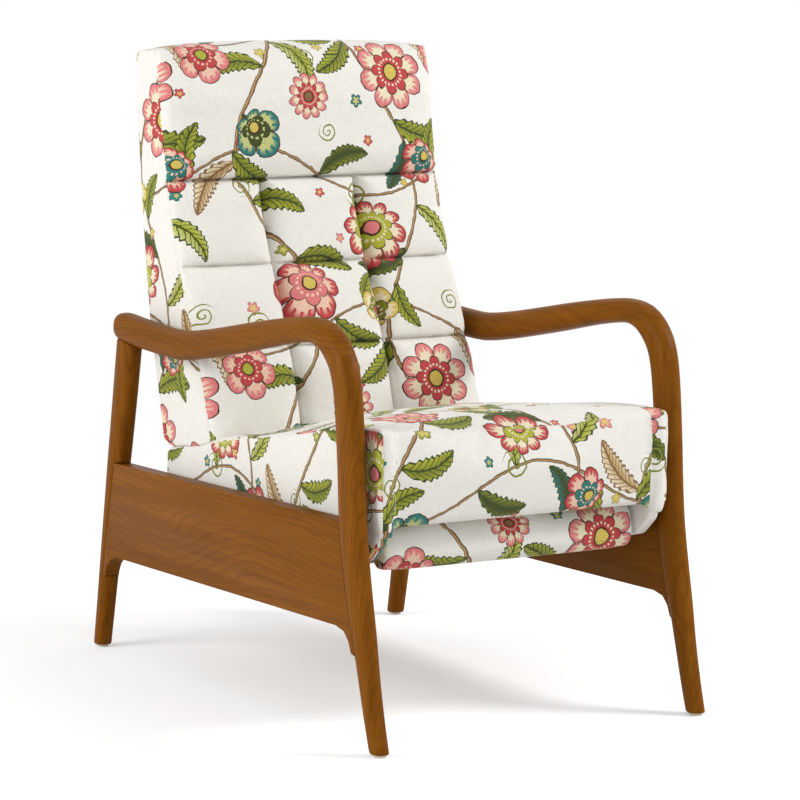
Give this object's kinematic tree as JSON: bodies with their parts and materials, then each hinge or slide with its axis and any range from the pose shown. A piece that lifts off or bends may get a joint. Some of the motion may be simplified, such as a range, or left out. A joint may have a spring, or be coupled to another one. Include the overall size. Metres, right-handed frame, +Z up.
{
  "type": "high-leg push-back recliner",
  "caption": "High-leg recliner: sculpted wooden side frames, sliding upholstered seat, reclining channelled back with bolster headrest, padded footrest unfolding on links.",
  "frame": {"origin": "on the floor, midway between the left and right side frames and between the front and rear feet", "axes": "+X to the right as seen from the front, -Y the way the sitter faces, +Z up"},
  "size_m": [0.64, 0.9449, 1.05],
  "materials": {
    "walnut": "satin lacquer",
    "beech": "unfinished",
    "printed_linen": "woven, printed with a branching floral",
    "mechanism_steel": "semi-gloss",
    "nylon": "matte",
    "webbing": "woven"
  },
  "bodies": {
    "side_frames": {"arm_left": "walnut", "arm_right": "walnut", "front_leg_left": "walnut", "front_leg_right": "walnut", "rear_leg_left": "walnut", "rear_leg_right": "walnut", "side_panel_left": "walnut", "side_panel_right": "walnut", "front_glide_left": "nylon", "front_glide_right": "nylon", "rear_glide_left": "nylon", "rear_glide_right": "nylon", "slide_channel_left": "mechanism_steel", "slide_channel_right": "mechanism_steel", "front_stretcher": "beech", "rear_stretcher": "beech"},
    "seat": {"seat_side_rail_left": "beech", "seat_side_rail_right": "beech", "seat_cheek_left": "printed_linen", "seat_cheek_right": "printed_linen", "front_slide_shoe_left": "nylon", "front_slide_shoe_right": "nylon", "rear_slide_shoe_left": "nylon", "rear_slide_shoe_right": "nylon", "mechanism_plate_left": "mechanism_steel", "mechanism_plate_right": "mechanism_steel", "recline_pin_left": "mechanism_steel", "recline_pin_right": "mechanism_steel", "seat_front_rail": "beech", "seat_rear_rail": "beech", "seat_cushion": "printed_linen", "seat_spring_1": "mechanism_steel", "seat_spring_2": "mechanism_steel", "seat_spring_3": "mechanism_steel", "seat_spring_4": "mechanism_steel"},
    "back": {"back_post_left": "beech", "back_post_right": "beech", "back_boxing_left": "printed_linen", "back_boxing_right": "printed_linen", "hinge_arm_left": "mechanism_steel", "hinge_arm_right": "mechanism_steel", "back_lower_rail": "beech", "back_middle_rail": "beech", "back_upper_rail": "beech", "back_web_1": "webbing", "back_web_2": "webbing", "back_web_3": "webbing", "back_outer_panel": "printed_linen", "back_cushion": "printed_linen", "headrest_cushion": "printed_linen"},
    "drive_links": {"drive_link_left": "mechanism_steel", "drive_link_right": "mechanism_steel", "torque_tube": "mechanism_steel"},
    "extension_links": {"extension_link_left": "mechanism_steel", "extension_link_right": "mechanism_steel"},
    "footrest": {"footrest_pad": "printed_linen", "footrest_board": "beech", "footrest_bracket_left": "mechanism_steel", "footrest_bracket_right": "mechanism_steel"}
  },
  "joints": [
    {"name": "seat_slide", "type": "slide", "parent": "side_frames", "child": "seat", "axis": [0, -1, 0], "range_m": [0, 0.1]},
    {"name": "back_recline", "type": "hinge", "parent": "seat", "child": "back", "pos_m": [0, 0.2852, 0.34686], "axis": [-1, 0, 0], "range_deg": [0, 30]},
    {"name": "footrest_drive", "type": "hinge", "parent": "seat", "child": "drive_links", "pos_m": [0, -0.2853, 0.27208], "axis": [-1, 0, 0], "range_deg": [0, 192.2]},
    {"name": "footrest_extend", "type": "hinge", "parent": "drive_links", "child": "extension_links", "pos_m": [0, -0.125, 0.24994], "axis": [1, 0, 0], "range_deg": [0, 183]},
    {"name": "footrest_turn", "type": "hinge", "parent": "extension_links", "child": "footrest", "pos_m": [0, -0.3021, 0.30012], "axis": [-1, 0, 0], "range_deg": [0, 104.8]}
  ],
  "couplings": [
    {"joint": "footrest_drive", "follows": "seat_slide", "rad_per_m": 33.54},
    {"joint": "footrest_extend", "follows": "seat_slide", "rad_per_m": 31.93},
    {"joint": "footrest_turn", "follows": "seat_slide", "rad_per_m": 18.29}
  ]
}
